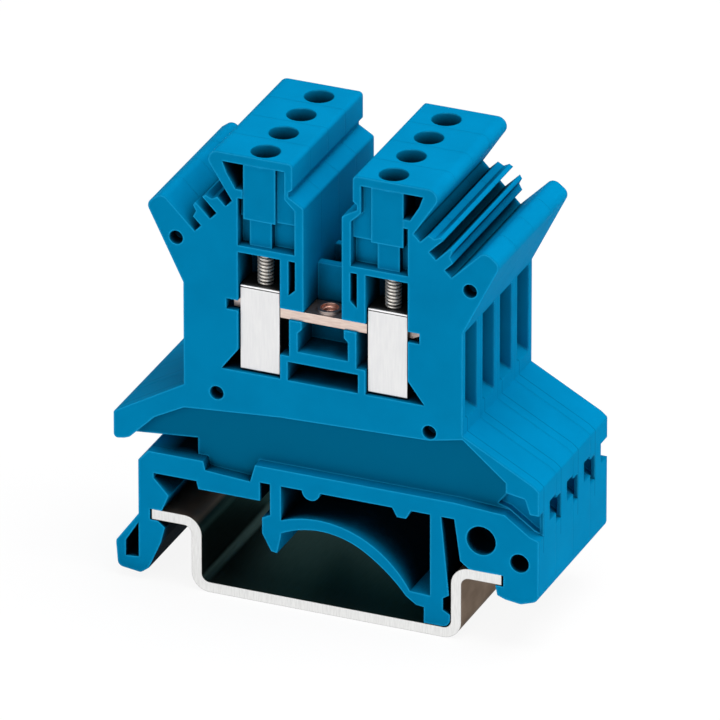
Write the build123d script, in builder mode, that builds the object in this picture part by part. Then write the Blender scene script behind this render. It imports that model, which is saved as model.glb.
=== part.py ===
from build123d import *
from math import cos, radians, sin
import os

os.makedirs("parts", exist_ok=True)

# Feed-through terminal block: four screw modules side by side on a piece of top-hat rail.
# Millimetres. X runs across the rail, Y along it, and Z = 0 is the rail's underside.
# The origin is the middle of that underside.

# Modules, stacked along Y
module_count = 4
module_width = 4.2
cavity_depth = 3.4          # depth of the clamp chambers behind the open front

# Rail
rail_width = 35.0
rail_height = 7.5
rail_sheet = 1.0
rail_hat_width = 27.0
rail_bend = 0.8             # inner bend radius

# Housing outline, X from its own centre line and Z from the top of the rail
housing_shift = -0.3        # centre line of the housing from the middle of the rail
body_half = 13.9
body_bottom = 13.6
tower_top = 38.1
tower_half_gap = 3.0
channel_half = 1.9
channel_floor = 26.9
shoulder_top = 35.5
shoulder_bottom = 33.8
shoulder_groove = 0.4
tower_lean_foot = (9.0, 33.3)
tower_lean_top = 12.1
tower_round = 0.9
arm_root = 24.1
arm_tip = (17.6, 31.6)
arm_round = 0.8
marker_seat_length = 5.3

# Marker ribs, measured along and square to the slope of the marker seat
rib_slot = 0.95
rib_width = 1.25
rib_lip = 0.42
rib_lip_height = 2.05
rib_step_height = 1.15

# Screw towers: a flat-fronted shaft over a narrower neck, with pockets on both sides
clamp_axis = 6.35
tower_floor_top = 28.9
tower_floor = 0.7
tower_roof = 0.9
tower_outer_wall = 0.55
channel_wall = 0.9
shaft_half = 1.6
shaft_front = 0.15          # shaft set back from the front
shaft_bore = 2.8
inner_relief_depth = 0.6
outer_pocket_depth = 3.0
outer_groove_depth = 0.9
outer_pocket_bottom = 34.6
outer_pocket_top_width = 2.0
outer_web = 0.9             # web under the outer pocket
neck_half = 1.1
neck_front = 0.5
neck_pocket_depth = 1.2
neck_top = 31.6
screw_seat = 0.5            # material left under the screw head

# Clamp chambers and the bar that joins them
chamber_width = 4.2
chamber_floor = 16.0
bar_top = 23.15
bar_thickness = 0.95
bar_clearance = 0.1
bar_overhang = 2.85         # bar beyond the axis of a clamp screw
bar_end_width = 1.7
bar_middle_width = 3.0
bar_point = 0.6
collar_diameter = 2.4
collar_height = 0.25
collar_bore = 1.7
post_thickness = 0.85
post_inner = 2.5
shelf_top = 19.1
shelf_thickness = 1.2
window_half = 3.5
window_height = 1.9
wall_slot_width = 0.65
wall_slot_height = 3.5
corner_pocket_width = 1.65
corner_pocket_height = 2.2

# Wire entries in the two side faces
entry_width = 2.9
entry_bottom = 14.9
entry_top = 24.0
entry_skin = 0.6
entry_throat_width = 2.2
entry_throat_height = 4.1

# Locating pegs on the back of each module, and their sockets in the front
peg_diameter = 1.2
peg_clearance = 0.08
peg_length = 1.1
socket_depth = 1.3
upper_peg = (14.6, 28.55)
lower_peg = (10.6, 13.35)

# Skirt, wings and foot
skirt_recess = 1.2
wing_reach = 21.0
wing_end_reach = 21.5
wing_gap_depth = 1.8
end_pocket_start = 2.65     # pocket in the wing's end face, from the front
end_pocket_bottom = 5.2
end_pocket_height = 2.0
end_pocket_reach = 1.5
foot_beam_top = 6.6
foot_beam_thickness = 1.7
foot_beam_right = 13.1
leg_thickness = 1.15
jaw_clearance = 0.1
tip_clearance = 0.2
hook_leg_left = -5.3
hook_leg_thickness = 1.1
spring_leg_left = 10.7
spring_leg_thickness = 1.1
spring_thickness = 1.1
foot_clearance = 0.1
large_hole_diameter = 2.9
small_hole_diameter = 1.85
small_hole_inset = 1.9      # from the end face of the foot

# Clamp sleeve and screw
sleeve_width = 3.9
sleeve_depth = 2.9
sleeve_wall = 0.5
sleeve_height = 8.6
sleeve_top_wall = 1.1
sleeve_window = 5.0
sleeve_rest_gap = 0.2       # sleeve above the chamber floor, fully open
thread_diameter = 1.6
thread_clearance = 0.1
screw_tip_gap = 0.05
screw_head_diameter = 2.6
screw_head_height = 1.4
screw_slot_width = 0.45
screw_slot_depth = 0.7

# Places worked out from the sizes above
stack_length = module_count * module_width
module_fronts = [module_width * i - stack_length / 2 for i in range(module_count)]
seat = rail_height
clamp_depth = cavity_depth / 2
bar_bottom = bar_top - bar_thickness
bar_half_length = clamp_axis + bar_overhang
bar_middle_half = clamp_axis - sleeve_width / 2 - bar_clearance
flange_underside = seat - rail_sheet
rail_tip_left = -rail_width / 2 - housing_shift
rail_tip_right = rail_width / 2 - housing_shift
rail_wall_inside = rail_hat_width / 2 - rail_sheet - housing_shift
head_seat = neck_top + screw_seat
beam_underside = foot_beam_top - foot_beam_thickness


def front_plane(depth):
    """Plane across the rail at this depth: X to the right, its own Y up from the rail's top."""
    return Plane(origin=(housing_shift, depth, seat), x_dir=(1, 0, 0), z_dir=(0, -1, 0))


def slab(corners, start, depth, mode=Mode.ADD):
    """Closed outline of (x, z) or (x, z, radius) corners, pulled back from start by depth."""
    with BuildSketch(front_plane(start)) as outline:
        with BuildLine():
            Polyline(*[corner[:2] for corner in corners], close=True)
        make_face()
        for corner in corners:
            if len(corner) == 3:
                nearest = outline.vertices().sort_by_distance((corner[0], corner[1], 0))[0]
                fillet(nearest, corner[2])
    extrude(outline.sketch, amount=-depth, mode=mode)


def box_slab(x_low, x_high, z_low, z_high, start, depth, mode=Mode.ADD):
    """Rectangular slab between these bounds."""
    corners = [(x_low, z_low), (x_high, z_low), (x_high, z_high), (x_low, z_high)]
    slab(corners, start, depth, mode)


def round_slab(centre, diameter, start, depth, mode=Mode.ADD):
    """Round peg or hole along Y."""
    with BuildSketch(front_plane(start)) as outline:
        with Locations(centre):
            Circle(diameter / 2)
    extrude(outline.sketch, amount=-depth, mode=mode)


def upright(x, y, z_low, z_high, diameter, mode=Mode.ADD):
    """Round column or bore along Z, x from the housing's centre line."""
    with BuildSketch(Plane(origin=(housing_shift + x, y, seat + z_low))) as outline:
        Circle(diameter / 2)
    extrude(outline.sketch, amount=z_high - z_low, mode=mode)


def mirrored(corners, side):
    """The same corners on the right (1) or the left (-1) of the centre line."""
    return [(side * corner[0], *corner[1:]) for corner in corners]


def marker_point(along, up):
    """Point on the marker seat, which falls outwards at 45 degrees from the tower's foot."""
    slope = radians(45)
    x = tower_lean_foot[0] + along * cos(slope) + up * sin(slope)
    z = tower_lean_foot[1] - along * sin(slope) + up * cos(slope)
    return (x, z)


def upper_outline():
    """Right half of the upper body: side wall, arm, marker seat and screw tower."""
    seat_end = marker_point(marker_seat_length, 0)
    arm_inner = marker_point(marker_seat_length, 4.6)
    return [
        (0, body_bottom),
        (body_half, body_bottom),
        (body_half, arm_root),
        (*arm_tip, arm_round),
        (*arm_inner, arm_round),
        seat_end,
        tower_lean_foot,
        (tower_lean_top, tower_top, tower_round),
        (tower_half_gap, tower_top, 0.4),
        (tower_half_gap, shoulder_top),
        (tower_half_gap + shoulder_groove, shoulder_top - 0.3),
        (tower_half_gap + shoulder_groove, shoulder_top - 0.8),
        (channel_half, shoulder_bottom, 0.3),
        (channel_half, channel_floor),
        (0, channel_floor),
    ]


def add_marker_ribs(side, start):
    """Two lipped ribs that hold a marker strip between them."""
    middle = marker_seat_length / 2
    root = -0.2
    for facing in (-1, 1):
        edge = middle + facing * rib_slot / 2
        profile = [
            (edge, root),
            (edge, rib_lip_height),
            (edge + facing * rib_lip, rib_lip_height - 0.1),
            (edge + facing * (rib_lip + 0.2), rib_step_height + 0.2),
            (edge + facing * rib_width, rib_step_height),
            (edge + facing * rib_width, root),
        ]
        corners = [marker_point(*point) for point in profile]
        slab(mirrored(corners, side), start, module_width)


def add_skirt(start):
    """Lower body: a recessed band behind a front plate, running out into the two wings."""
    wing_top = body_bottom
    left_wing = [
        (-body_half, wing_top),
        (-wing_reach, wing_top - 4.1, 0.3),
        (-wing_reach, wing_top - 6.9, 0.4),
        (-wing_reach + 1.1, wing_top - 6.7),
        (-wing_reach + 1.6, wing_top - 6.5),
    ]
    right_wing = [
        (wing_end_reach, wing_top - 6.8),
        (wing_end_reach, wing_top - 4.3, 0.3),
        (wing_end_reach - 0.6, wing_top - 3.8, 0.4),
        (body_half, wing_top),
    ]
    plate_edge = [
        (-16.9, wing_top - 4.0),
        (-body_half, wing_top - 2.4),
        (-4.3, wing_top - 1.6),
        (lower_peg[0], wing_top - 1.1),
        (body_half, wing_top - 0.4),
        (wing_end_reach - 3.3, wing_top - 4.0),
        (wing_end_reach - 3.3, wing_top - 5.0),
        (wing_end_reach - 1.4, wing_top - 5.3),
        (wing_end_reach - 0.9, wing_top - 6.8),
    ]
    band_edge = [
        (-13.0, wing_top - 5.9),
        (-13.0, beam_underside - 0.9),
        (hook_leg_left - 1.0, beam_underside - 0.9),
        (hook_leg_left - 1.0, beam_underside + 0.3),
        (wing_end_reach - 6.0, beam_underside + 0.3),
        (wing_end_reach, foot_beam_top - 2.5),
    ]
    slab(left_wing + plate_edge + right_wing, start, skirt_recess)
    slab(left_wing + band_edge + right_wing, start + skirt_recess, module_width - skirt_recess)


def add_left_foot(start):
    """Stiff leg that hooks over and under the rail's left flange, with a lug for a screwdriver."""
    jaw = rail_tip_left - tip_clearance
    outside = jaw - leg_thickness
    corners = [
        (-12.0, foot_beam_top - 0.6),
        (outside + 1.0, foot_beam_top - 0.6),
        (outside, foot_beam_top - 1.7),
        (outside, -0.7),
        (outside - 2.3, -3.9, 0.6),
        (outside - 2.1, -6.5, 0.6),
        (outside + 0.2, -6.8, 0.5),
        (outside + 1.0, -6.2),
        (jaw + 1.1, -3.3),
        (jaw + 1.5, -1.7),
        (jaw + 0.8, flange_underside - seat - jaw_clearance),
        (jaw, flange_underside - seat - jaw_clearance),
        (jaw, 0),
        (jaw + 1.2, 0),
        (jaw + 1.9, 1.7),
        (jaw + 0.4, 3.3),
        (jaw + 0.4, beam_underside - 1.1),
        (-12.7, beam_underside - 1.1),
        (-12.5, beam_underside - 1.9),
        (hook_leg_left - 1.0, beam_underside - 1.9),
        (hook_leg_left - 1.0, beam_underside),
        (hook_leg_left, beam_underside),
        (hook_leg_left, foot_beam_top),
        (-6.8, foot_beam_top),
        (-7.3, foot_beam_top - 1.8),
        (-11.8, foot_beam_top - 1.5),
    ]
    slab(corners, start, module_width)
    lug_hole = [
        (outside, -1.6),
        (outside, -5.2),
        (outside - 1.3, -5.3),
        (outside - 1.3, -3.7),
    ]
    slab(lug_hole, start, module_width, Mode.SUBTRACT)


def add_spring_foot(start):
    """Beam, barbed leg, arched spring and the sprung leg that presses on the rail's right wall."""
    box_slab(hook_leg_left, foot_beam_right + 0.1, beam_underside, foot_beam_top, start, module_width)
    right = hook_leg_left + hook_leg_thickness
    barb = [
        (hook_leg_left, beam_underside),
        (hook_leg_left, 1.7),
        (hook_leg_left - 0.8, 1.3),
        (hook_leg_left - 0.8, -0.3),
        (hook_leg_left + 0.1, -2.0),
        (hook_leg_left + 0.7, -2.1),
        (right, -0.2),
        (right, beam_underside),
    ]
    slab(barb, start, module_width)
    round_slab((-1.2, beam_underside), 1.8, start, module_width)
    stop = [
        (6.9, beam_underside),
        (7.4, beam_underside - 0.9),
        (8.3, beam_underside - 0.9),
        (8.8, beam_underside),
    ]
    slab(stop, start, module_width)
    sprung_outside = rail_wall_inside - foot_clearance
    pad_bottom = rail_sheet + foot_clearance - seat
    leg = [
        (spring_leg_left, beam_underside),
        (spring_leg_left + spring_leg_thickness, beam_underside),
        (sprung_outside - 0.1, -3.1),
        (sprung_outside - 0.7, -3.5),
        (sprung_outside - 0.7, -4.7),
        (sprung_outside, -5.1),
        (sprung_outside, pad_bottom, rail_bend),
        (spring_leg_left - 0.6, pad_bottom),
        (spring_leg_left - 0.6, -4.6),
        (spring_leg_left, -3.5),
    ]
    slab(leg, start, module_width)
    with BuildSketch(front_plane(start)) as spring:
        with BuildLine():
            top = ThreePointArc((right - 0.2, 1.3), (1.0, 2.0), (4.4, 0.85))
            fall = TangentArc(top @ 1, (8.7, -3.4), tangent=top % 1)
            under = ThreePointArc((right - 0.2, -0.1), (1.0, 2.0 - spring_thickness), (4.1, -0.25))
            fall_under = TangentArc(under @ 1, (8.3, -4.0), tangent=under % 1)
            Polyline(fall @ 1, (spring_leg_left + 0.2, -3.5), (spring_leg_left - 0.5, -4.8),
                     (9.3, -4.7), fall_under @ 1)
            Line(under @ 0, top @ 0)
        make_face()
    extrude(spring.sketch, amount=-module_width)


def add_right_foot(start):
    """Stiff block that rests on the rail's right flange and grips its edge."""
    jaw = rail_tip_right + tip_clearance
    under = flange_underside - seat - jaw_clearance
    toe = (jaw + wing_end_reach) / 2
    toe_round = (wing_end_reach - jaw) / 4.4
    corners = [
        (foot_beam_right, foot_beam_top),
        (foot_beam_right, beam_underside),
        (foot_beam_right + 0.6, 0.7),
        (14.6, 0),
        (jaw, 0),
        (jaw, under),
        (jaw - 0.8, under),
        (jaw - 0.6, -2.1),
        (jaw + 0.2, -2.4),
        (toe, -2.6, toe_round),
        (wing_end_reach, -2.0, toe_round),
        (wing_end_reach, foot_beam_top - 2.4),
        (wing_end_reach - 0.9, foot_beam_top - 2.1),
        (wing_end_reach - 3.4, foot_beam_top - 0.3),
    ]
    slab(corners, start, module_width)
    large_hole = (foot_beam_right + 0.32 * (wing_end_reach - foot_beam_right), 3.2)
    small_hole = (wing_end_reach - small_hole_inset, 1.6)
    round_slab(large_hole, large_hole_diameter, start, cavity_depth, Mode.SUBTRACT)
    round_slab(small_hole, small_hole_diameter, start, cavity_depth, Mode.SUBTRACT)


def cut_wing_gaps(start):
    """Gap between the right wing and the foot, and the pocket in the wing's end face."""
    gap = [
        (wing_end_reach - 4.5, foot_beam_top + 0.2),
        (wing_end_reach - 3.3, body_bottom - 5.2),
        (wing_end_reach - 1.5, body_bottom - 5.5),
        (wing_end_reach - 1.0, body_bottom - 6.8),
        (wing_end_reach - 0.4, body_bottom - 6.8),
        (wing_end_reach - 0.4, foot_beam_top - 2.1),
        (wing_end_reach - 0.9, foot_beam_top - 1.9),
        (wing_end_reach - 3.4, foot_beam_top - 0.1),
    ]
    slab(gap, start, wing_gap_depth, Mode.SUBTRACT)
    box_slab(wing_end_reach - end_pocket_reach, wing_end_reach + 1, end_pocket_bottom,
             end_pocket_bottom + end_pocket_height, start + end_pocket_start,
             module_width - end_pocket_start, Mode.SUBTRACT)


def cut_tower(side, start):
    """Pockets of a screw tower beside the shaft and its neck, and the bore through both."""
    floor = tower_floor_top
    roof = tower_top - tower_roof
    inner = channel_half + channel_wall
    outer = tower_lean_foot[0] - tower_outer_wall
    shaft = [
        (clamp_axis - shaft_half, neck_top),
        (clamp_axis + shaft_half, neck_top),
        (clamp_axis + shaft_half, roof),
        (clamp_axis - shaft_half, roof),
    ]
    relief = [
        (inner, neck_top),
        (inner, shoulder_bottom - 0.4),
        (tower_half_gap + 0.8, shoulder_bottom + 0.6),
        (tower_half_gap + 0.8, roof),
        (clamp_axis - shaft_half, roof),
        (clamp_axis - shaft_half, neck_top),
    ]
    outer_pocket = [
        (clamp_axis + shaft_half, roof),
        (clamp_axis + shaft_half + outer_pocket_top_width, roof),
        (clamp_axis + shaft_half + outer_pocket_top_width - 0.4, roof - 1.1),
        (outer + 0.2, outer_pocket_bottom),
        (clamp_axis + shaft_half, outer_pocket_bottom),
    ]
    outer_groove = [
        (clamp_axis + shaft_half, neck_top),
        (outer, neck_top),
        (outer, outer_pocket_bottom - outer_web),
        (clamp_axis + shaft_half, outer_pocket_bottom - outer_web),
    ]
    inner_neck_pocket = [
        (inner, floor),
        (clamp_axis - neck_half, floor),
        (clamp_axis - neck_half, neck_top),
        (inner, neck_top),
    ]
    outer_neck_pocket = [
        (clamp_axis + neck_half, floor),
        (outer, floor),
        (outer, neck_top),
        (clamp_axis + neck_half, neck_top),
    ]
    neck = [
        (clamp_axis - neck_half, floor),
        (clamp_axis + neck_half, floor),
        (clamp_axis + neck_half, neck_top),
        (clamp_axis - neck_half, neck_top),
    ]
    cuts = (
        (shaft, shaft_front),
        (relief, inner_relief_depth),
        (outer_pocket, outer_pocket_depth),
        (outer_groove, outer_groove_depth),
        (inner_neck_pocket, neck_pocket_depth),
        (outer_neck_pocket, neck_pocket_depth),
        (neck, neck_front),
    )
    for corners, depth in cuts:
        slab(mirrored(corners, side), start, depth, Mode.SUBTRACT)
    axis = side * clamp_axis
    middle = start + clamp_depth
    upright(axis, middle, head_seat, tower_top, shaft_bore, Mode.SUBTRACT)
    upright(axis, middle, floor - tower_floor, head_seat, thread_diameter + 3 * thread_clearance,
            Mode.SUBTRACT)


def cut_clamp_chamber(side, start):
    """Chamber of a clamp sleeve, the slot in its wall and the gaps that lead into it."""
    inner = clamp_axis - chamber_width / 2
    outer = clamp_axis + chamber_width / 2
    roof = tower_floor_top - tower_floor
    chamber = [(inner, chamber_floor), (outer, chamber_floor), (outer, roof), (inner, roof)]
    wall_slot = [
        (channel_half + 0.85, roof),
        (channel_half + 0.85, roof - wall_slot_height + 0.6),
        (channel_half + 0.85 + wall_slot_width, roof - wall_slot_height),
        (channel_half + 0.85 + wall_slot_width, roof),
    ]
    side_gap = [
        (post_inner + post_thickness, shelf_top - 0.6),
        (inner, shelf_top - 0.6),
        (inner, bar_bottom),
        (post_inner + post_thickness, bar_bottom),
    ]
    corner_pocket = [
        (outer, chamber_floor),
        (outer + corner_pocket_width, chamber_floor),
        (outer, chamber_floor + corner_pocket_height),
    ]
    for corners in (chamber, wall_slot, side_gap, corner_pocket):
        slab(mirrored(corners, side), start, cavity_depth, Mode.SUBTRACT)


def wire_entry(side, start):
    """Funnel from the side face to the clamp sleeve, narrowing in height and in width."""
    mouth_x = side * (body_half + 0.1)
    throat_x = side * (clamp_axis + chamber_width / 2 - 0.1)
    throat_top = bar_bottom
    throat_bottom = bar_bottom - entry_throat_height
    mouth_side = start + entry_skin
    throat_side = start + clamp_depth - entry_throat_width / 2
    with BuildPart() as funnel:
        profile = [
            (mouth_x, entry_bottom),
            (throat_x, throat_bottom),
            (throat_x, throat_top),
            (mouth_x, entry_top),
        ]
        slab(profile, start, module_width)
        with BuildSketch(Plane(origin=(housing_shift, 0, seat + entry_bottom - 1))) as plan:
            with BuildLine():
                Polyline((mouth_x, mouth_side), (throat_x, throat_side),
                         (throat_x, throat_side + entry_throat_width),
                         (mouth_x, mouth_side + entry_width), close=True)
            make_face()
        extrude(plan.sketch, amount=entry_top - entry_bottom + 2, mode=Mode.INTERSECT)
    return funnel


def cut_bar_seat(start):
    """Trough for the current bar, the space round its collar and the hollows under it."""
    box_slab(-bar_half_length - 0.4, bar_half_length + 0.4, bar_bottom, bar_top + bar_clearance, start,
             cavity_depth, Mode.SUBTRACT)
    box_slab(-channel_half, channel_half, bar_top, channel_floor, start, cavity_depth, Mode.SUBTRACT)
    recess = [
        (-post_inner, shelf_top),
        (post_inner, shelf_top),
        (post_inner, bar_bottom - 1.2),
        (post_inner - 0.4, bar_bottom - 0.8),
        (post_inner - 0.4, bar_bottom),
        (-post_inner + 0.4, bar_bottom),
        (-post_inner + 0.4, bar_bottom - 0.8),
        (-post_inner, bar_bottom - 1.2),
    ]
    slab(recess, start, cavity_depth, Mode.SUBTRACT)
    window_top = shelf_top - shelf_thickness
    box_slab(-window_half, window_half, window_top - window_height, window_top, start, cavity_depth,
             Mode.SUBTRACT)


def make_housing(start):
    """One moulding: body, towers, arms, wings and foot, open at the front."""
    funnels = [wire_entry(side, start) for side in (-1, 1)]
    with BuildPart() as moulding:
        for side in (-1, 1):
            slab(mirrored(upper_outline(), side), start, module_width)
            add_marker_ribs(side, start)
        add_skirt(start)
        add_left_foot(start)
        add_spring_foot(start)
        add_right_foot(start)
        cut_wing_gaps(start)
        for side in (-1, 1):
            cut_tower(side, start)
            cut_clamp_chamber(side, start)
        for funnel in funnels:
            add(funnel.part, mode=Mode.SUBTRACT)
        cut_bar_seat(start)
        for x, z in (upper_peg, lower_peg):
            for side in (-1, 1):
                round_slab((side * x, z), peg_diameter + 2 * peg_clearance, start, socket_depth,
                           Mode.SUBTRACT)
                round_slab((side * x, z), peg_diameter, start + module_width, peg_length)
    return moulding


def make_bar(start):
    """Flat copper bar with a drawn, threaded collar in the middle and a pointed right end."""
    middle = start + clamp_depth
    low = seat + bar_bottom
    half = bar_half_length
    end = bar_end_width / 2
    with BuildPart() as bar:
        with BuildSketch(Plane(origin=(housing_shift, middle, low))) as blank:
            Rectangle(2 * bar_middle_half, bar_middle_width)
            with BuildLine():
                Polyline((-half, -end), (half - bar_point, -end), (half, 0), (half - bar_point, end),
                         (-half, end), close=True)
            make_face()
        extrude(amount=bar_thickness)
        with BuildSketch(Plane(origin=(housing_shift, middle, low + bar_thickness))):
            Circle(collar_diameter / 2)
        extrude(amount=collar_height, taper=8)
        with BuildSketch(Plane(origin=(housing_shift, middle, low))):
            Circle(collar_bore / 2)
        extrude(amount=bar_thickness + collar_height, mode=Mode.SUBTRACT)
    return bar


def make_sleeve(side, start):
    """Steel cage: the screw's thread in the top wall, a window for the bar and the wire."""
    x = housing_shift + side * clamp_axis
    y = start + clamp_depth
    low = seat + chamber_floor + sleeve_rest_gap
    window_top = sleeve_height - sleeve_top_wall
    with BuildPart() as sleeve:
        with BuildSketch(Plane(origin=(x, y, low))):
            Rectangle(sleeve_width, sleeve_depth)
        extrude(amount=sleeve_height)
        with BuildSketch(Plane(origin=(x, y, low), x_dir=(0, 1, 0), z_dir=(1, 0, 0))):
            with Locations((0, window_top - sleeve_window / 2)):
                Rectangle(sleeve_depth - 2 * sleeve_wall, sleeve_window)
        extrude(amount=sleeve_width, both=True, mode=Mode.SUBTRACT)
        with BuildSketch(Plane(origin=(x, y, low + window_top - 0.1))):
            Circle(thread_diameter / 2 + thread_clearance)
        extrude(amount=sleeve_top_wall + 0.2, mode=Mode.SUBTRACT)
    return sleeve


def make_screw(side, start):
    """Slotted clamp screw, its tip on the bar and its head in the tower's shaft."""
    x = housing_shift + side * clamp_axis
    y = start + clamp_depth
    tip = seat + bar_top + screw_tip_gap
    under_head = seat + head_seat + screw_tip_gap
    with BuildPart() as screw:
        with BuildSketch(Plane(origin=(x, y, tip))):
            Circle(thread_diameter / 2)
        extrude(amount=under_head - tip)
        with BuildSketch(Plane(origin=(x, y, under_head))):
            Circle(screw_head_diameter / 2)
        extrude(amount=screw_head_height)
        with BuildSketch(Plane(origin=(x, y, under_head + screw_head_height - screw_slot_depth))):
            Rectangle(screw_head_diameter + 1, screw_slot_width)
        extrude(amount=screw_slot_depth, mode=Mode.SUBTRACT)
    return screw


def make_rail():
    """Top-hat rail, bent from one strip."""
    half = rail_width / 2
    hat = rail_hat_width / 2
    inside = hat - rail_sheet
    outer = rail_bend + rail_sheet
    right = [
        (inside, rail_sheet, rail_bend),
        (inside, rail_height, outer),
        (half, rail_height),
        (half, rail_height - rail_sheet),
        (hat, rail_height - rail_sheet, rail_bend),
        (hat, 0, outer),
    ]
    corners = right + [(-x, *rest) for x, *rest in reversed(right)]
    plane = Plane(origin=(0, -stack_length / 2, 0), x_dir=(1, 0, 0), z_dir=(0, -1, 0))
    with BuildPart() as rail:
        with BuildSketch(plane) as profile:
            with BuildLine():
                Polyline(*[corner[:2] for corner in corners], close=True)
            make_face()
            for corner in corners:
                if len(corner) == 3:
                    nearest = profile.vertices().sort_by_distance((corner[0], corner[1], 0))[0]
                    fillet(nearest, corner[2])
        extrude(amount=-stack_length)
    return rail


def save(builder, label):
    """Write one finished piece under its own name."""
    builder.part.label = label
    export_step(builder.part, f"parts/{label}.step")


save(make_rail(), "mounting_rail")
moulding = make_housing(0)
for number, front in enumerate(module_fronts, start=1):
    with BuildPart(Location((0, front, 0))) as housing:
        add(moulding.part)
    save(housing, f"housing_{number}")
    save(make_bar(front), f"current_bar_{number}")
    for side, name in ((-1, "left"), (1, "right")):
        save(make_sleeve(side, front), f"clamp_sleeve_{name}_{number}")
        save(make_screw(side, front), f"clamp_screw_{name}_{number}")
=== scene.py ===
from math import cos, radians, sin

import bmesh
import bpy
from mathutils import Matrix, Vector


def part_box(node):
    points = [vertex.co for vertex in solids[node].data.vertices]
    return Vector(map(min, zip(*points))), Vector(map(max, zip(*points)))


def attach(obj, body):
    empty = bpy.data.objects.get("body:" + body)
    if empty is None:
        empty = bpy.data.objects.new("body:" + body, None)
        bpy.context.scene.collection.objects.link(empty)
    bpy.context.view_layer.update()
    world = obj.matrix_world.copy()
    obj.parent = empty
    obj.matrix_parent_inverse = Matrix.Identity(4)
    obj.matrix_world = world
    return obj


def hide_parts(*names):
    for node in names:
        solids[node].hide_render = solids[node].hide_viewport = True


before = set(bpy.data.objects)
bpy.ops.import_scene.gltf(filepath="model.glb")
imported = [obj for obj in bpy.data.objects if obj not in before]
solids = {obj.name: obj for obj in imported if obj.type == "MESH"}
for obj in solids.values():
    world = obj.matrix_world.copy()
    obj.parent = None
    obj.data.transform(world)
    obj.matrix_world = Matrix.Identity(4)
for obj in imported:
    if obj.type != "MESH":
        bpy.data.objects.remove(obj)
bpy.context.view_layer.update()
mm = 0.001

# Mounting rail
# A short piece of top-hat rail, rolled from 1 mm strip steel and zinc plated, its skin passivated
# to a dull brown-grey. It is sawn to length, so its two end faces are bare, bright steel.
# Here and below, a low and a high value are where a pattern begins and ends to change the finish.
rail_edge_radius = 0.08 * mm
rail_end_depth = 0.02 * mm
rail_inside_half = 12.8 * mm
rail_inside_fade = 0.3 * mm
rolled_grain = (1, 0.05, 1)
sawn_grain = (1, 0.05, 0.12)
rail_gloss_tint = (0.35, 0.35, 0.35, 1)
passivated = (0.27, 0.21, 0.165, 1)
passivated_dark = (0.17, 0.13, 0.10, 1)
rail_painted_shade_inside = (0.03, 0.05, 0.048, 1)
bare_steel = (0.84, 0.84, 0.83, 1)
bare_steel_dull = (0.72, 0.72, 0.71, 1)
sawn_edge_grey = (0.30, 0.30, 0.29, 1)
sawn_edge_grey_width = 0.12 * mm
sawn_edge_grey_share = 0.9
turn_at_edge, turn_on_flat = 0.75, 0.98
cloud_low, cloud_high = 0.35, 0.7
rolled_low, rolled_high = 0.2, 0.8
sawn_low, sawn_high = 0.4, 0.75
rail_smooth, rail_rough = 0.32, 0.52


def new_material(name, metallic, roughness):
    """Material with one Principled shader; returns it with its nodes, links and the shader."""
    material = bpy.data.materials.new(name)
    material.use_nodes = True
    nodes, links = material.node_tree.nodes, material.node_tree.links
    shader = nodes["Principled BSDF"]
    shader.inputs["Metallic"].default_value = metallic
    shader.inputs["Roughness"].default_value = roughness
    return material, nodes, links, shader


def object_place(nodes, links, stretch=(1, 1, 1)):
    """Object coordinates, drawn out along one axis where a finish has a grain."""
    coordinates = nodes.new("ShaderNodeTexCoord")
    mapping = nodes.new("ShaderNodeMapping")
    mapping.inputs["Scale"].default_value = stretch
    links.new(coordinates.outputs["Object"], mapping.inputs["Vector"])
    return mapping.outputs["Vector"]


def noise(nodes, links, place, scale, detail, roughness=0.55):
    """Noise value at this place."""
    texture = nodes.new("ShaderNodeTexNoise")
    texture.inputs["Scale"].default_value = scale
    texture.inputs["Detail"].default_value = detail
    texture.inputs["Roughness"].default_value = roughness
    links.new(place, texture.inputs["Vector"])
    return texture.outputs["Fac"]


def axes_of(nodes, links, vector):
    """The X, Y and Z of a vector."""
    node = nodes.new("ShaderNodeSeparateXYZ")
    links.new(vector, node.inputs["Vector"])
    return node.outputs


def maths(nodes, links, operation, first, second=0.0, third=0.0):
    """One step of arithmetic in a node tree, on numbers or sockets."""
    node = nodes.new("ShaderNodeMath")
    node.operation = operation
    for number, value in enumerate((first, second, third)):
        if isinstance(value, (int, float)):
            node.inputs[number].default_value = value
        else:
            links.new(value, node.inputs[number])
    return node.outputs["Value"]


def map_range(nodes, links, value, low, high, new_low, new_high):
    """Value from one range to another, clamped."""
    node = nodes.new("ShaderNodeMapRange")
    numbers = {"From Min": low, "From Max": high, "To Min": new_low, "To Max": new_high}
    for key, number in numbers.items():
        node.inputs[key].default_value = number
    links.new(value, node.inputs["Value"])
    return node.outputs["Result"]


def mix_colours(nodes, links, factor, first, second):
    """Colour between two colours or sockets."""
    node = nodes.new("ShaderNodeMix")
    node.data_type = "RGBA"
    links.new(factor, node.inputs["Factor"])
    for key, colour in (("A", first), ("B", second)):
        socket = next(s for s in node.inputs if s.name == key and s.type == "RGBA")
        if isinstance(colour, tuple):
            socket.default_value = colour
        else:
            links.new(colour, socket)
    return next(s for s in node.outputs if s.type == "RGBA")


def blend(nodes, links, value, low, high, first, second, share=1):
    """First colour where a value is low, and up to this share of the second where it is high."""
    factor = map_range(nodes, links, value, low, high, 0, share)
    return mix_colours(nodes, links, factor, first, second)


def looking_way(nodes):
    """The direction a face looks in."""
    return nodes.new("ShaderNodeNewGeometry").outputs["Normal"]


def rounded_way(nodes, edge_radius):
    """The direction a face looks in, turned near its edges as if they were rounded."""
    edge = nodes.new("ShaderNodeBevel")
    edge.samples = 6
    edge.inputs["Radius"].default_value = edge_radius
    return edge.outputs["Normal"]


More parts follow.
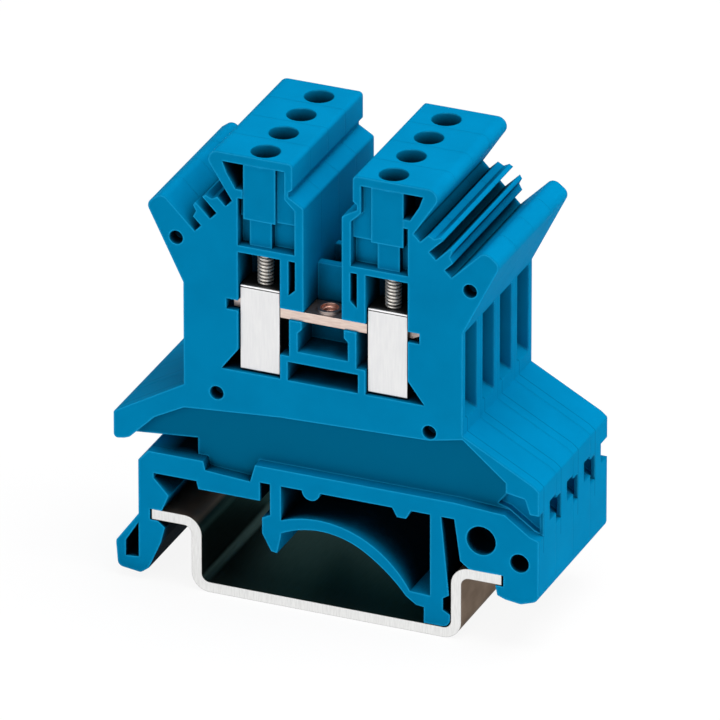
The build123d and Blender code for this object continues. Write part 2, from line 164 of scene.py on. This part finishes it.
def edge_share(nodes, links, edge_radius, share):
    """How near a place is to an edge: 0 on the flat, up to this share on the edge."""
    turned = nodes.new("ShaderNodeVectorMath")
    turned.operation = "DOT_PRODUCT"
    links.new(rounded_way(nodes, edge_radius), turned.inputs[0])
    links.new(looking_way(nodes), turned.inputs[1])
    return map_range(nodes, links, turned.outputs["Value"], turn_at_edge, turn_on_flat, share, 0)


def rough_surface(nodes, links, shader, height, strength, distance, edge_radius):
    """Bump over a surface with rounded edges."""
    bump = nodes.new("ShaderNodeBump")
    bump.inputs["Strength"].default_value = strength
    bump.inputs["Distance"].default_value = distance
    links.new(height, bump.inputs["Height"])
    links.new(rounded_way(nodes, edge_radius), bump.inputs["Normal"])
    links.new(bump.outputs["Normal"], shader.inputs["Normal"])


def dress(solid, material):
    """Gives a solid of the frame a better finish."""
    for slot in solid.material_slots:
        slot.material = material


rail_material, nodes, links, shader = new_material(
    "passivated_rail_steel", metallic=1.0, roughness=0.4)
shader.inputs["Specular Tint"].default_value = rail_gloss_tint
place = object_place(nodes, links)
axes = axes_of(nodes, links, place)
rail_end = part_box("mounting_rail")[1][1]
from_middle = maths(nodes, links, "ABSOLUTE", axes["Y"])
from_centre = maths(nodes, links, "ABSOLUTE", axes["X"])
cloud = noise(nodes, links, place, scale=260, detail=3)
streaks = noise(nodes, links, object_place(nodes, links, rolled_grain), scale=9000, detail=5)
saw_marks = noise(nodes, links, object_place(nodes, links, sawn_grain), scale=7000, detail=3)
skin = blend(nodes, links, cloud, cloud_low, cloud_high, passivated, passivated_dark)
# Painted shade: inside the hat the rail's colour turns nearly black.
skin = blend(nodes, links, from_centre, rail_inside_half, rail_inside_half + rail_inside_fade,
             rail_painted_shade_inside, skin)
sawn = blend(nodes, links, saw_marks, sawn_low, sawn_high, bare_steel, bare_steel_dull)
# The sawn face turns a darker grey along its edges.
sawn = mix_colours(nodes, links, edge_share(nodes, links, sawn_edge_grey_width, sawn_edge_grey_share), sawn, sawn_edge_grey)
skin = blend(nodes, links, from_middle, rail_end - rail_end_depth, rail_end - rail_end_depth / 2,
             skin, sawn)
links.new(skin, shader.inputs["Base Color"])
links.new(map_range(nodes, links, streaks, rolled_low, rolled_high, rail_smooth, rail_rough),
          shader.inputs["Roughness"])
rough_surface(nodes, links, shader, streaks, strength=0.2, distance=0.02 * mm,
              edge_radius=rail_edge_radius)
dress(solids["mounting_rail"], rail_material)

# Housings
# Four mouldings of blue polyamide, clipped on the rail side by side and held to each other by
# their pegs. The mould leaves a fine satin grain. The front edges carry a painted highlight, the
# recessed band a painted shadow, and painted shade turns the hollows nearly black with their depth.
blue = (0.0, 0.208, 0.425, 1)
blue_deep = (0.0, 0.187, 0.385, 1)
blue_painted_shade = (0.0, 0.006, 0.012, 1)
blue_band_painted_shadow = (0.0, 0.125, 0.25, 1)
blue_painted_highlight = (0.015, 0.40, 0.76, 1)
moulded_edge = 0.22 * mm
painted_highlight_width = 0.42 * mm
painted_highlight_share = 0.9
front_way, side_way = -0.9, -0.6
band_depth = 1.2 * mm
band_tolerance = 0.05 * mm
band_bottom, band_top = 10.0 * mm, 23.0 * mm
foot_top = 14.2 * mm
foot_fade = 0.6 * mm
body_reach, body_dark, body_open = 4.5 * mm, 0.14, 0.56
foot_reach, foot_dark, foot_open = 8.0 * mm, 0.33, 0.60
wing_gap_start, wing_gap_end = 15.5 * mm, 17.5 * mm
wing_gap_bottom = 12.0 * mm
wing_gap_fade = 0.3 * mm
wing_gap_light = 0.95
plastic_gloss = 0.003
grain_low, grain_high = 0.3, 0.7
plastic_smooth, plastic_rough = 0.56, 0.68


def openness(nodes, links, reach):
    """How open a place is to its surroundings, within this reach: low deep in a hollow."""
    node = nodes.new("ShaderNodeAmbientOcclusion")
    node.samples = 12
    node.inputs["Distance"].default_value = reach
    return node.outputs["AO"]


module_count = 4
modules = range(1, module_count + 1)
first_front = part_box("housing_1")[0][1]
module_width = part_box("housing_2")[0][1] - first_front

housing_material, nodes, links, shader = new_material(
    "blue_polyamide", metallic=0.0, roughness=0.6)
shader.inputs["Specular IOR Level"].default_value = plastic_gloss
place = object_place(nodes, links)
axes = axes_of(nodes, links, place)
cloud = noise(nodes, links, place, scale=180, detail=3)
grain = noise(nodes, links, place, scale=5200, detail=3)
skin = blend(nodes, links, cloud, cloud_low, cloud_high, blue, blue_deep)

depth = maths(nodes, links, "FLOORED_MODULO", axes["Y"], module_width)
band_level = (first_front + band_depth) % module_width
at_depth = maths(nodes, links, "COMPARE", depth, band_level, band_tolerance)
above = maths(nodes, links, "GREATER_THAN", axes["Z"], band_bottom)
below = maths(nodes, links, "LESS_THAN", axes["Z"], band_top)
in_height = maths(nodes, links, "MULTIPLY", above, below)
in_band = maths(nodes, links, "MULTIPLY", at_depth, in_height)
# Painted shadow: the recessed band under the wing is darker.
skin = mix_colours(nodes, links, in_band, skin, blue_band_painted_shadow)

# Painted highlight: front faces turn paler near their edges.
way = axes_of(nodes, links, looking_way(nodes))
on_front = map_range(nodes, links, way["Y"], front_way, side_way, 1, 0)
painted_highlight_edge = edge_share(nodes, links, painted_highlight_width, painted_highlight_share)
painted_highlight_mask = maths(nodes, links, "MULTIPLY", painted_highlight_edge, on_front)
skin = mix_colours(nodes, links, painted_highlight_mask, skin, blue_painted_highlight)

# Painted shade: the blue goes nearly black where a place is closed in, within a shorter reach in
# the body than in the foot.
body_light = map_range(nodes, links, openness(nodes, links, body_reach), body_dark, body_open,
                       0, 1)
foot_light = map_range(nodes, links, openness(nodes, links, foot_reach), foot_dark, foot_open,
                       0, 1)
in_foot = map_range(nodes, links, axes["Z"], foot_top, foot_top - foot_fade, 0, 1)
light = nodes.new("ShaderNodeMix")
links.new(in_foot, light.inputs["Factor"])
links.new(body_light, light.inputs["A"])
links.new(foot_light, light.inputs["B"])
# The wire entries near the ends, above the foot, are spared most of the painted shade.
reach_out = maths(nodes, links, "ABSOLUTE", axes["X"])
near_end = map_range(nodes, links, reach_out, wing_gap_start, wing_gap_end, 0, wing_gap_light)
over_foot = map_range(nodes, links, axes["Z"], wing_gap_bottom - wing_gap_fade, wing_gap_bottom,
                      0, 1)
in_wing_gap = maths(nodes, links, "MULTIPLY", near_end, over_foot)
light = maths(nodes, links, "MAXIMUM", light.outputs["Result"], in_wing_gap)
links.new(mix_colours(nodes, links, light, blue_painted_shade, skin), shader.inputs["Base Color"])
links.new(map_range(nodes, links, grain, grain_low, grain_high, plastic_smooth, plastic_rough),
          shader.inputs["Roughness"])
rough_surface(nodes, links, shader, grain, strength=0.12, distance=0.02 * mm,
              edge_radius=moulded_edge)
for number in modules:
    dress(solids[f"housing_{number}"], housing_material)

# Current bars
# One flat bar of tinned copper in each module, with a painted dark reflection on its top faces and
# round its collar, and painted shade in its hollows. The hole in its middle is drawn up into a
# collar and threaded, and the cut thread shows the bare copper.
tin = (0.80, 0.66, 0.58, 1)
tin_dull = (0.66, 0.50, 0.44, 1)
tin_painted_shade = (0.055, 0.05, 0.055, 1)
tin_painted_dark_reflection = (0.20, 0.17, 0.165, 1)
copper = (0.66, 0.38, 0.30, 1)
bar_edge = 0.08 * mm
bar_grain = (0.15, 1, 1)
bar_streak_low, bar_streak_high = 0.35, 0.75
bar_top_start, bar_top_full, bar_top_share = 0.5, 0.9, 0.85
bar_reach, bar_dark, bar_open = 2.5 * mm, 0.03, 0.25
collar_bore = 0.85 * mm
collar_wall = 0.5 * mm
collar_fade = 0.05 * mm
collar_top_share = 0.7
bore_fade_start, bore_fade_end = 0.02 * mm, 0.05 * mm
collar_thread_depth = 0.13 * mm
thread_pitch = 0.35 * mm
ridge_flank = 0.47
ridge_steps = 28

bar_material, nodes, links, shader = new_material(
    "tinned_copper", metallic=1.0, roughness=0.38)
streaks = noise(nodes, links, object_place(nodes, links, bar_grain), scale=6000, detail=4)
skin = blend(nodes, links, streaks, bar_streak_low, bar_streak_high, tin, tin_dull)
# Painted shade: the tin goes nearly black where it is closed in.
skin = blend(nodes, links, openness(nodes, links, bar_reach), bar_dark, bar_open, tin_painted_shade,
             skin)
# Painted dark reflection: upward faces of the bar turn dark grey.
way = axes_of(nodes, links, looking_way(nodes))
skin = blend(nodes, links, way["Z"], bar_top_start, bar_top_full, skin, tin_painted_dark_reflection,
             share=bar_top_share)
bar_low, bar_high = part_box("current_bar_1")
axes = axes_of(nodes, links, object_place(nodes, links))
across = maths(nodes, links, "SUBTRACT", axes["X"], (bar_low[0] + bar_high[0]) / 2)
along = maths(nodes, links, "SUBTRACT", axes["Y"], (bar_low[1] + bar_high[1]) / 2)
from_axis = nodes.new("ShaderNodeCombineXYZ")
links.new(across, from_axis.inputs["X"])
links.new(maths(nodes, links, "WRAP", along, module_width / 2, -module_width / 2),
          from_axis.inputs["Y"])
length = nodes.new("ShaderNodeVectorMath")
length.operation = "LENGTH"
links.new(from_axis.outputs["Vector"], length.inputs[0])
radius = length.outputs["Value"]
collar_radius = collar_bore + collar_wall
# Painted dark reflection on the ring round the collar too.
skin = blend(nodes, links, radius, collar_radius, collar_radius - collar_fade, skin, tin_painted_dark_reflection,
             share=collar_top_share)
skin = blend(nodes, links, radius, collar_bore + bore_fade_start, collar_bore + bore_fade_end,
             copper, skin)
links.new(skin, shader.inputs["Base Color"])
rough_surface(nodes, links, shader, streaks, strength=0.15, distance=0.01 * mm,
              edge_radius=bar_edge)


def new_tree(name, sizes):
    """Tree with these named inputs and a place; returns it with its nodes, links and inputs."""
    tree = bpy.data.node_groups.new(name, "GeometryNodeTree")
    for size in sizes:
        tree.interface.new_socket(size, in_out="INPUT", socket_type="NodeSocketFloat")
    tree.interface.new_socket("Place", in_out="INPUT", socket_type="NodeSocketVector")
    tree.interface.new_socket("Geometry", in_out="OUTPUT", socket_type="NodeSocketGeometry")
    return tree, tree.nodes, tree.links, tree.nodes.new("NodeGroupInput").outputs


def raised(nodes, links, geometry, height):
    """Geometry moved up by a height."""
    offset = nodes.new("ShaderNodeCombineXYZ")
    links.new(height, offset.inputs["Z"])
    move = nodes.new("GeometryNodeTransform")
    links.new(geometry, move.inputs["Geometry"])
    links.new(offset.outputs["Vector"], move.inputs["Translation"])
    return move.outputs["Geometry"]


def wound_ridge(nodes, links, radius, depth, pitch, length):
    """Thread ridge wound up round the Z axis, as far inside this radius as outside it."""
    helix = nodes.new("GeometryNodeCurveSpiral")
    helix.inputs["Resolution"].default_value = ridge_steps
    links.new(maths(nodes, links, "DIVIDE", length, pitch), helix.inputs["Rotations"])
    links.new(radius, helix.inputs["Start Radius"])
    links.new(radius, helix.inputs["End Radius"])
    links.new(length, helix.inputs["Height"])
    upright = nodes.new("GeometryNodeSetCurveNormal")
    upright.mode = "Z_UP"
    links.new(helix.outputs["Curve"], upright.inputs["Curve"])
    ridge = nodes.new("GeometryNodeCurvePrimitiveQuadrilateral")
    ridge.mode = "KITE"
    flank = maths(nodes, links, "MULTIPLY", pitch, ridge_flank)
    links.new(maths(nodes, links, "MULTIPLY", depth, 2), ridge.inputs["Width"])
    links.new(flank, ridge.inputs["Bottom Height"])
    links.new(flank, ridge.inputs["Top Height"])
    wound = nodes.new("GeometryNodeCurveToMesh")
    links.new(upright.outputs["Curve"], wound.inputs["Curve"])
    links.new(ridge.outputs["Curve"], wound.inputs["Profile Curve"])
    wound.inputs["Fill Caps"].default_value = True
    return raised(nodes, links, wound.outputs["Mesh"], maths(nodes, links, "MULTIPLY", pitch, 0.5))


def close_tree(tree, parts, place, material):
    """Joins a tree's parts, moves them to their place and ends the tree."""
    nodes, links = tree.nodes, tree.links
    joined = nodes.new("GeometryNodeJoinGeometry")
    for part in parts:
        links.new(part, joined.inputs["Geometry"])
    move = nodes.new("GeometryNodeTransform")
    links.new(joined.outputs["Geometry"], move.inputs["Geometry"])
    links.new(place, move.inputs["Translation"])
    realised = nodes.new("GeometryNodeRealizeInstances")
    links.new(move.outputs["Geometry"], realised.inputs["Geometry"])
    finish = nodes.new("GeometryNodeSetMaterial")
    finish.inputs["Material"].default_value = material
    links.new(realised.outputs["Geometry"], finish.inputs["Geometry"])
    links.new(finish.outputs["Geometry"], nodes.new("NodeGroupOutput").inputs[0])


def from_tree(name, tree, sizes):
    """Plain mesh object from a tree, with these named inputs."""
    source = bpy.data.objects.new(name, bpy.data.meshes.new(name))
    bpy.context.collection.objects.link(source)
    modifier = source.modifiers.new(name, "NODES")
    modifier.node_group = tree
    for item in tree.interface.items_tree:
        if item.in_out == "INPUT":
            modifier[item.identifier] = sizes[item.name]
    shape = source.evaluated_get(bpy.context.evaluated_depsgraph_get())
    source.data = bpy.data.meshes.new_from_object(shape)
    source.modifiers.clear()
    return source


collar_tree, nodes, links, given = new_tree("collar_thread", (
    "Bore radius", "Depth", "Pitch", "Length"))
thread = wound_ridge(nodes, links, given["Bore radius"], given["Depth"], given["Pitch"],
                     given["Length"])
close_tree(collar_tree, [thread], given["Place"], bar_material)
for number in modules:
    dress(solids[f"current_bar_{number}"], bar_material)
    low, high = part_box(f"current_bar_{number}")
    thread = from_tree(f"collar_thread_{number}", collar_tree, {
        "Bore radius": collar_bore, "Depth": collar_thread_depth, "Pitch": thread_pitch,
        "Length": high[2] - low[2] - thread_pitch,
        "Place": ((low[0] + high[0]) / 2, (low[1] + high[1]) / 2, low[2])})
    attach(thread, "block")

# Clamp sleeves
# Each sleeve is a cage folded from zinc-plated steel strip, bright and nearly white. The wire and
# the bar pass through its window, the screw through its roof, and the strip's end laps over the
# front.
sleeve_wall = 0.5 * mm
sleeve_roof = 1.1 * mm
window_height = 5.0 * mm
roof_bore = 1.8 * mm
bore_tool_length = sleeve_roof * 1.6
fold_radius = 0.14 * mm
window_radius = 0.15 * mm
lap_height = 0.16 * mm
lap_width = 0.1 * mm
lap_drop = lap_width / 6
lap_depth = 0.09 * mm
sleeve_bevel = 0.05 * mm
sleeve_edge = 0.06 * mm
sharp_angle = radians(35)
fold_steps, window_steps, bore_sides = 6, 3, 40
drawn_grain = (1, 1, 0.1)
sleeve_streak_low, sleeve_streak_high = 0.3, 0.8
sleeve_reach, sleeve_dark, sleeve_open = 4.0 * mm, 0.4, 0.85
zinc = (0.83, 0.83, 0.83, 1)
zinc_dull = (0.76, 0.76, 0.77, 1)
zinc_painted_shade = (0.02, 0.022, 0.022, 1)

sleeve_material, nodes, links, shader = new_material(
    "zinc_plated_steel", metallic=0.85, roughness=0.45)
streaks = noise(nodes, links, object_place(nodes, links, drawn_grain), scale=5000, detail=4)
skin = blend(nodes, links, streaks, sleeve_streak_low, sleeve_streak_high, zinc, zinc_dull)
# Painted shade: the zinc goes nearly black deep in the chamber.
skin = blend(nodes, links, openness(nodes, links, sleeve_reach), sleeve_dark, sleeve_open,
             zinc_painted_shade, skin)
links.new(skin, shader.inputs["Base Color"])
rough_surface(nodes, links, shader, streaks, strength=0.1, distance=0.01 * mm,
              edge_radius=sleeve_edge)


def rounded_corners(low, high, radius, steps):
    """Points of a rounded rectangle, counter-clockwise from the end of its lower left corner."""
    centres = ((low[0] + radius, low[1] + radius, 180), (high[0] - radius, low[1] + radius, 270),
               (high[0] - radius, high[1] - radius, 0), (low[0] + radius, high[1] - radius, 90))
    return [(u + radius * cos(radians(start + 90 * step / steps)),
             v + radius * sin(radians(start + 90 * step / steps)))
            for u, v, start in centres for step in range(steps + 1)]


def new_piece(name, mesh, material):
    """Object for a finished mesh."""
    mesh.materials.append(material)
    piece = bpy.data.objects.new(name, mesh)
    bpy.context.collection.objects.link(piece)
    return piece


def make_cage(low, high):
    """Folded strip cage in this box: its outline with the lapped end, and its window."""
    front, back, top = low[1], high[1], high[2]
    outline = rounded_corners((front, low[2]), (back, top), fold_radius, fold_steps)
    lap_top, lap_bottom = top - lap_height, top - lap_height - lap_width
    outline += [(front, lap_top), (front + lap_depth, lap_top - lap_drop),
                (front + lap_depth, lap_bottom), (front, lap_bottom)]
    window = rounded_corners((front + sleeve_wall, top - sleeve_roof - window_height),
                             (back - sleeve_wall, top - sleeve_roof), window_radius, window_steps)
    mesh = bmesh.new()
    for loop in (outline, window):
        corners = [mesh.verts.new((low[0], y, z)) for y, z in loop]
        for first, second in zip(corners, corners[1:] + corners[:1]):
            mesh.edges.new((first, second))
    bmesh.ops.triangle_fill(mesh, use_beauty=True, use_dissolve=True, edges=mesh.edges[:])
    far_side = bmesh.ops.extrude_face_region(mesh, geom=mesh.faces[:])["geom"]
    bmesh.ops.translate(mesh, vec=(high[0] - low[0], 0, 0),
                        verts=[item for item in far_side if isinstance(item, bmesh.types.BMVert)])
    bmesh.ops.recalc_face_normals(mesh, faces=mesh.faces[:])
    return mesh


def make_bore(low, high):
    """Round tool for the hole in the cage's roof."""
    mesh = bmesh.new()
    bmesh.ops.create_cone(mesh, cap_ends=True, segments=bore_sides, radius1=roof_bore / 2,
                          radius2=roof_bore / 2, depth=bore_tool_length)
    bmesh.ops.translate(mesh, verts=mesh.verts[:],
                        vec=((low[0] + high[0]) / 2, (low[1] + high[1]) / 2,
                             high[2] - sleeve_roof / 2))
    return mesh


def as_mesh(name, shape):
    """Mesh data from a bmesh."""
    data = bpy.data.meshes.new(name)
    shape.to_mesh(data)
    shape.free()
    return data


sides = ("left", "right")
for number in modules:
    for side in sides:
        low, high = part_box(f"clamp_sleeve_{side}_{number}")
        sleeve = new_piece(f"folded_sleeve_{side}_{number}", as_mesh("cage", make_cage(low, high)),
                           sleeve_material)
        bore = new_piece("bore", as_mesh("bore", make_bore(low, high)), sleeve_material)
        cut = sleeve.modifiers.new("bore", "BOOLEAN")
        cut.operation = "DIFFERENCE"
        cut.solver = "EXACT"
        cut.object = bore
        edge = sleeve.modifiers.new("edge", "BEVEL")
        edge.width = sleeve_bevel
        edge.segments = 2
        edge.limit_method = "ANGLE"
        edge.angle_limit = sharp_angle
        shape = sleeve.evaluated_get(bpy.context.evaluated_depsgraph_get())
        sleeve.data = bpy.data.meshes.new_from_object(shape)
        sleeve.modifiers.clear()
        bpy.data.objects.remove(bore)
        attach(sleeve, f"sleeve_{side}_{number}")
        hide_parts(f"clamp_sleeve_{side}_{number}")

# Clamp screws
# Slotted screws of plated steel, 1.6 mm over a 0.35 mm thread. The thread is a ridge wound round
# the core, and each screw is made by one tree and takes the place of its plain solid.
thread_diameter = 1.6 * mm
thread_depth = 0.62 * thread_pitch
head_height = 1.4 * mm
slot_width = 0.45 * mm
slot_depth = 0.7 * mm
slot_overshoot = 1.2
screw_edge = 0.04 * mm
core_overlap = 1.02
core_sides, head_sides = 32, 48
screw_reach, screw_dark, screw_open = 0.9 * mm, 0.3, 0.75
screw_top_start, screw_top_full, screw_top_share = 0.9, 0.97, 0.9
steel = (0.80, 0.76, 0.70, 1)
steel_dull = (0.56, 0.53, 0.49, 1)
steel_painted_dark_reflection = (0.13, 0.125, 0.115, 1)
steel_painted_shade = (0.012, 0.012, 0.011, 1)

screw_material, nodes, links, shader = new_material(
    "plated_screw_steel", metallic=0.6, roughness=0.32)
cloud = noise(nodes, links, object_place(nodes, links), scale=2600, detail=4)
skin = blend(nodes, links, cloud, cloud_low, cloud_high, steel, steel_dull)
way = axes_of(nodes, links, looking_way(nodes))
# Painted dark reflection: upward faces of the screw turn dark.
skin = blend(nodes, links, way["Z"], screw_top_start, screw_top_full, skin, steel_painted_dark_reflection,
             share=screw_top_share)
# Painted shade: the steel goes nearly black where it is closed in.
skin = blend(nodes, links, openness(nodes, links, screw_reach), screw_dark, screw_open,
             steel_painted_shade, skin)
links.new(skin, shader.inputs["Base Color"])
rough_surface(nodes, links, shader, cloud, strength=0.1, distance=0.01 * mm,
              edge_radius=screw_edge)


def cylinder(nodes, links, diameter, length, bottom, sides_round):
    """Upright cylinder of a tree, standing at a height."""
    body = nodes.new("GeometryNodeMeshCylinder")
    body.inputs["Vertices"].default_value = sides_round
    links.new(maths(nodes, links, "MULTIPLY", diameter, 0.5), body.inputs["Radius"])
    links.new(length, body.inputs["Depth"])
    middle = maths(nodes, links, "MULTIPLY_ADD", length, 0.5, bottom)
    return raised(nodes, links, body.outputs["Mesh"], middle)


screw_tree, nodes, links, given = new_tree("slotted_screw", (
    "Thread diameter", "Thread depth", "Pitch", "Shank length", "Head diameter", "Head height",
    "Slot width", "Slot depth"))
root = maths(nodes, links, "MULTIPLY_ADD", given["Thread depth"], -2.0, given["Thread diameter"])
core = cylinder(nodes, links, maths(nodes, links, "MULTIPLY", root, core_overlap),
                given["Shank length"], 0.0, core_sides)
head = cylinder(nodes, links, given["Head diameter"], given["Head height"], given["Shank length"],
                head_sides)
slot_size = nodes.new("ShaderNodeCombineXYZ")
links.new(maths(nodes, links, "MULTIPLY", given["Head diameter"], slot_overshoot),
          slot_size.inputs["X"])
links.new(given["Slot width"], slot_size.inputs["Y"])
links.new(maths(nodes, links, "MULTIPLY", given["Slot depth"], 2.0), slot_size.inputs["Z"])
slot = nodes.new("GeometryNodeMeshCube")
links.new(slot_size.outputs["Vector"], slot.inputs["Size"])
top = maths(nodes, links, "ADD", given["Shank length"], given["Head height"])
cut = nodes.new("GeometryNodeMeshBoolean")
cut.operation = "DIFFERENCE"
cut.solver = "EXACT"
links.new(head, cut.inputs["Mesh 1"])
links.new(raised(nodes, links, slot.outputs["Mesh"], top), cut.inputs["Mesh 2"])
root_radius = maths(nodes, links, "MULTIPLY", root, 0.5)
wound_length = maths(nodes, links, "SUBTRACT", given["Shank length"], given["Pitch"])
thread = wound_ridge(nodes, links, root_radius, given["Thread depth"], given["Pitch"], wound_length)
close_tree(screw_tree, [core, cut.outputs["Mesh"], thread], given["Place"], screw_material)

for number in modules:
    for side in sides:
        low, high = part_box(f"clamp_screw_{side}_{number}")
        screw = from_tree(f"threaded_screw_{side}_{number}", screw_tree, {
            "Thread diameter": thread_diameter, "Thread depth": thread_depth, "Pitch": thread_pitch,
            "Shank length": high[2] - low[2] - head_height, "Head diameter": high[0] - low[0],
            "Head height": head_height, "Slot width": slot_width, "Slot depth": slot_depth,
            "Place": ((low[0] + high[0]) / 2, (low[1] + high[1]) / 2, low[2])})
        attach(screw, f"screw_{side}_{number}")
        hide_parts(f"clamp_screw_{side}_{number}")

# Floor and light
# A pale floor under the rail, wide soft lamps and a white surround.
floor_half = 0.8
floor_drop = 0.02 * mm
floor_grey = (0.9, 0.9, 0.9, 1)
floor_whiteness = 0.9
surround = 0.30
lamp_aim = (0, 0, 0.02)
lamps = (("overhead", (0.14, 0.02, 0.58), 0.45, 3.5),
         ("front", (-0.12, -0.60, 0.30), 0.35, 1.1),
         ("right", (0.60, 0.0, 0.25), 0.35, 1.1))


def white_for_camera(nodes, links, lit, strength):
    """Mixes a lit shader with plain white, for what the camera, gloss and glass see."""
    white = nodes.new("ShaderNodeEmission")
    white.inputs["Strength"].default_value = 1.0
    ray = nodes.new("ShaderNodeLightPath").outputs
    seen = maths(nodes, links, "MAXIMUM", ray["Is Camera Ray"], ray["Is Glossy Ray"])
    seen = maths(nodes, links, "MAXIMUM", seen, ray["Is Transmission Ray"])
    share = maths(nodes, links, "MULTIPLY", seen, strength)
    mix = nodes.new("ShaderNodeMixShader")
    links.new(share, mix.inputs["Fac"])
    links.new(lit, mix.inputs[1])
    links.new(white.outputs["Emission"], mix.inputs[2])
    return mix.outputs["Shader"]


floor_material, nodes, links, shader = new_material(
    "pale_floor", metallic=0.0, roughness=0.8)
shader.inputs["Base Color"].default_value = floor_grey
links.new(white_for_camera(nodes, links, shader.outputs["BSDF"], floor_whiteness),
          nodes["Material Output"].inputs["Surface"])
floor_mesh = bpy.data.meshes.new("floor")
floor_mesh.from_pydata([(x * floor_half, y * floor_half, -floor_drop)
                        for x, y in ((-1, -1), (1, -1), (1, 1), (-1, 1))], [], [(0, 1, 2, 3)])
floor_mesh.materials.append(floor_material)
floor = bpy.data.objects.new("floor", floor_mesh)
bpy.context.collection.objects.link(floor)

world = bpy.data.worlds.new("studio")
bpy.context.scene.world = world
world.use_nodes = True
nodes, links = world.node_tree.nodes, world.node_tree.links
dim = nodes["Background"]
dim.inputs["Color"].default_value = (1, 1, 1, 1)
dim.inputs["Strength"].default_value = surround
links.new(white_for_camera(nodes, links, dim.outputs["Background"], 1.0),
          nodes["World Output"].inputs["Surface"])


def area_lamp(name, place, aim, size, power):
    """Soft rectangular lamp that looks at a point."""
    data = bpy.data.lights.new(name, "AREA")
    data.shape = "SQUARE"
    data.size = size
    data.energy = power
    lamp = bpy.data.objects.new(name, data)
    lamp.location = place
    lamp.rotation_euler = (Vector(aim) - Vector(place)).to_track_quat("-Z", "Y").to_euler()
    bpy.context.collection.objects.link(lamp)


for name, place, size, power in lamps:
    area_lamp(name, place, lamp_aim, size, power)

# Camera
# The photograph looks down on the open side from the right, from far away with a long lens.
photo_size = 720
photo_scale = 10.823 / mm
view_azimuth = radians(22.64)
view_elevation = radians(26.48)
view_distance = 1.5
view_target = Vector((0, 0, 22.0 * mm))
target_pixel = (360.9, 364.3)

back = Vector((sin(view_azimuth) * cos(view_elevation), -cos(view_azimuth) * cos(view_elevation),
               sin(view_elevation)))
right = Vector((cos(view_azimuth), sin(view_azimuth), 0))
up = back.cross(right)
offset_right = (photo_size / 2 - target_pixel[0]) / photo_scale
offset_up = (target_pixel[1] - photo_size / 2) / photo_scale
camera_data = bpy.data.cameras.new("camera")
camera_data.sensor_width = 36
camera_data.lens = camera_data.sensor_width * photo_scale * view_distance / photo_size
camera_data.clip_start = 0.1
camera_data.clip_end = 10
camera = bpy.data.objects.new("camera", camera_data)
camera.matrix_world = Matrix((right, up, back)).transposed().to_4x4()
camera.location = view_target + right * offset_right + up * offset_up + back * view_distance
bpy.context.collection.objects.link(camera)
bpy.context.scene.camera = camera
bpy.context.scene.view_settings.view_transform = "Standard"
